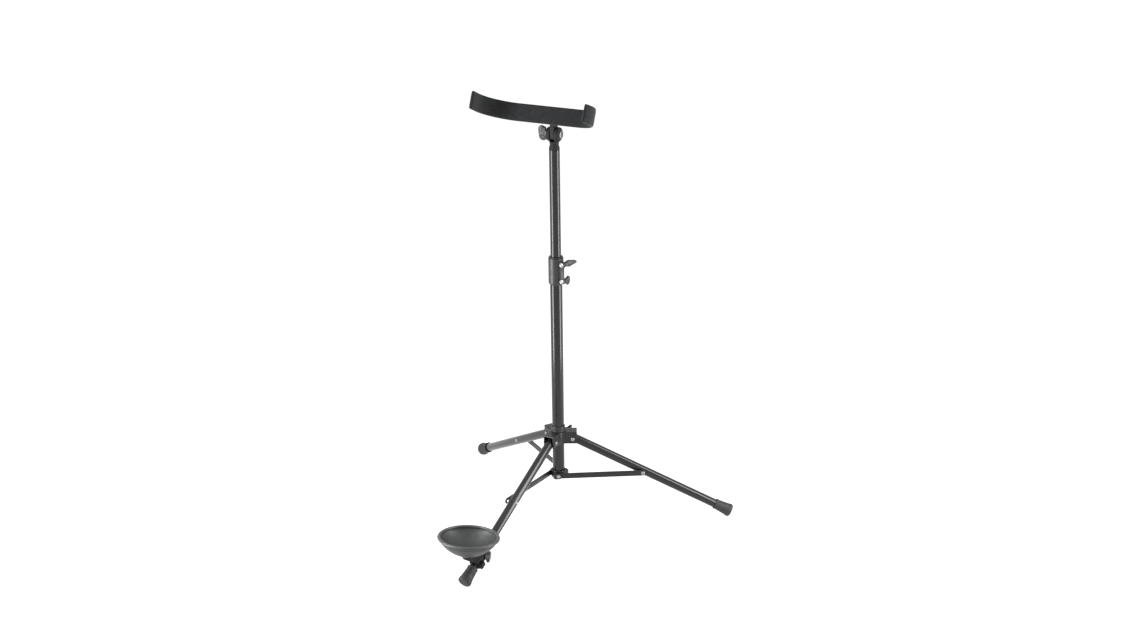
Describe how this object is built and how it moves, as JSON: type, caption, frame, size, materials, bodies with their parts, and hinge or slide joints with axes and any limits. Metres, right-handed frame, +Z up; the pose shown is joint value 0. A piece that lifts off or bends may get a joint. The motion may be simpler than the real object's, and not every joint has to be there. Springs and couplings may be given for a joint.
{
  "type": "folding instrument stand",
  "caption": "Folding tripod floor stand for a bassoon or bass clarinet, with a bell cup on one leg and a telescopic mast that carries a tilting padded J-shaped rest arm.",
  "frame": {"origin": "on the floor, under the middle of the open stand's box", "axes": "+Z up along the column, +X along the leg that points right, -Y towards the viewer"},
  "size_m": [0.5262, 0.595, 0.8152],
  "materials": {
    "enamel": "glossy black enamel on steel",
    "pressed_steel": "satin black enamel on pressed steel",
    "nylon": "satin dark grey glass-filled nylon",
    "plastic": "satin dark grey moulded plastic",
    "cup_plastic": "satin grey moulded plastic",
    "rubber": "matt grey-black rubber",
    "felt": "black felt over foam",
    "plated": "bright zinc plate"
  },
  "bodies": {
    "column": {"lower_tube": "enamel", "base_plug": "plastic", "strut_collar": "pressed_steel", "collar_cross_rivet": "plated", "collar_pin_right": "plated", "collar_pin_back": "plated", "collar_pin_front": "plated", "clamp_sleeve": "nylon", "clamp_bush": "plastic", "clamp_nut_lower": "plated", "clamp_nut_upper": "plated"},
    "hub": {"leg_hub": "pressed_steel", "hub_bush": "plastic", "hub_pin_right": "plated", "hub_pin_back": "plated", "hub_pin_front": "plated"},
    "hub_wing": {"hub_screw": "plated", "hub_knob": "plastic"},
    "mast_slider": {"mast_guide": "plastic"},
    "mast": {"mast_tube": "enamel", "joint_pin": "plated", "joint_fork": "nylon", "tilt_bolt": "plated", "tilt_washer": "plated"},
    "tilt_wing": {"tilt_knob": "plastic"},
    "rest_arm": {"arm_band": "enamel", "arm_pad": "felt", "arm_bracket": "pressed_steel", "arm_rivet_lower": "plated", "arm_rivet_upper": "plated"},
    "cup": {"cup_bowl": "cup_plastic", "cup_rim": "rubber", "cup_screw": "plated", "cup_clamp": "nylon"},
    "cup_wing": {"cup_wing_screw": "plated", "cup_knob": "plastic"},
    "clamp_wing_lower": {"clamp_screw_lower": "plated", "clamp_knob_lower": "plastic"},
    "clamp_wing_upper": {"clamp_screw_upper": "plated", "clamp_knob_upper": "plastic"},
    "right_leg": {"leg_tube_right": "enamel", "leg_plug_right": "plastic", "foot_cap_right": "rubber", "leg_rivet_right": "plated"},
    "right_strut": {"strut_right": "enamel", "strut_rivet_right": "plated"},
    "back_leg": {"leg_tube_back": "enamel", "leg_plug_back": "plastic", "foot_cap_back": "rubber", "leg_rivet_back": "plated"},
    "back_strut": {"strut_back": "enamel", "strut_rivet_back": "plated"},
    "front_leg": {"leg_tube_front": "enamel", "leg_plug_front": "plastic", "foot_cap_front": "rubber", "leg_rivet_front": "plated"},
    "front_strut": {"strut_front": "enamel", "strut_rivet_front": "plated"}
  },
  "joints": [
    {"name": "hub_slide", "type": "slide", "parent": "column", "child": "hub", "axis": [0, 0, 1], "range_m": [0, 0.22171]},
    {"name": "right_leg_fold", "type": "hinge", "parent": "hub", "child": "right_leg", "pos_m": [-0.03332, 0.0154, 0.16051], "axis": [0, 1, 0], "range_deg": [0, 57]},
    {"name": "back_leg_fold", "type": "hinge", "parent": "hub", "child": "back_leg", "pos_m": [-0.07262, 0.03809, 0.16051], "axis": [-0.866, -0.5, 0], "range_deg": [0, 57]},
    {"name": "front_leg_fold", "type": "hinge", "parent": "hub", "child": "front_leg", "pos_m": [-0.07262, -0.00729, 0.16051], "axis": [0.866, -0.5, 0], "range_deg": [0, 57]},
    {"name": "right_strut_fold", "type": "hinge", "parent": "column", "child": "right_strut", "pos_m": [-0.05952, 0.0154, 0.08765], "axis": [0, -1, 0], "range_deg": [0, 72.72]},
    {"name": "back_strut_fold", "type": "hinge", "parent": "column", "child": "back_strut", "pos_m": [-0.05952, 0.0154, 0.08765], "axis": [0.866, 0.5, 0], "range_deg": [0, 72.72]},
    {"name": "front_strut_fold", "type": "hinge", "parent": "column", "child": "front_strut", "pos_m": [-0.05952, 0.0154, 0.08765], "axis": [-0.866, 0.5, 0], "range_deg": [0, 72.72]},
    {"name": "hub_wing_turn", "type": "hinge", "parent": "hub", "child": "hub_wing", "pos_m": [-0.04635, 0.03226, 0.16612], "axis": [0.6157, 0.788, 0], "continuous": true},
    {"name": "mast_height", "type": "slide", "parent": "column", "child": "mast_slider", "axis": [0, 0, 1], "range_m": [-0.18, 0.11]},
    {"name": "mast_swivel", "type": "hinge", "parent": "mast_slider", "child": "mast", "pos_m": [-0.05952, 0.0154, 0], "axis": [0, 0, 1], "continuous": true},
    {"name": "rest_tilt", "type": "hinge", "parent": "mast", "child": "rest_arm", "pos_m": [-0.05952, 0.0154, 0.73385], "axis": [0.9171, -0.3987, 0], "range_deg": [-60, 50]},
    {"name": "tilt_wing_turn", "type": "hinge", "parent": "mast", "child": "tilt_wing", "pos_m": [-0.07273, 0.02114, 0.73385], "axis": [-0.9171, 0.3987, 0], "continuous": true},
    {"name": "cup_slide", "type": "slide", "parent": "front_leg", "child": "cup", "axis": [-0.4439, -0.7689, -0.4602], "range_m": [-0.09, 0.003]},
    {"name": "cup_wing_turn", "type": "hinge", "parent": "cup", "child": "cup_wing", "pos_m": [-0.18126, -0.21705, 0.03819], "axis": [0.866, -0.5, 0], "continuous": true},
    {"name": "clamp_wing_lower_turn", "type": "hinge", "parent": "column", "child": "clamp_wing_lower", "pos_m": [-0.04458, 0.00363, 0.46795], "axis": [0.7314, 0.682, 0], "continuous": true},
    {"name": "clamp_wing_upper_turn", "type": "hinge", "parent": "column", "child": "clamp_wing_upper", "pos_m": [-0.04458, 0.00363, 0.49915], "axis": [0.7314, 0.682, 0], "continuous": true}
  ],
  "couplings": [
    {"joint": "right_leg_fold", "follows": "hub_slide", "rad_per_m": 4.4871},
    {"joint": "back_leg_fold", "follows": "hub_slide", "rad_per_m": 4.4871},
    {"joint": "front_leg_fold", "follows": "hub_slide", "rad_per_m": 4.4871},
    {"joint": "right_strut_fold", "follows": "hub_slide", "rad_per_m": 5.7246},
    {"joint": "back_strut_fold", "follows": "hub_slide", "rad_per_m": 5.7246},
    {"joint": "front_strut_fold", "follows": "hub_slide", "rad_per_m": 5.7246}
  ]
}
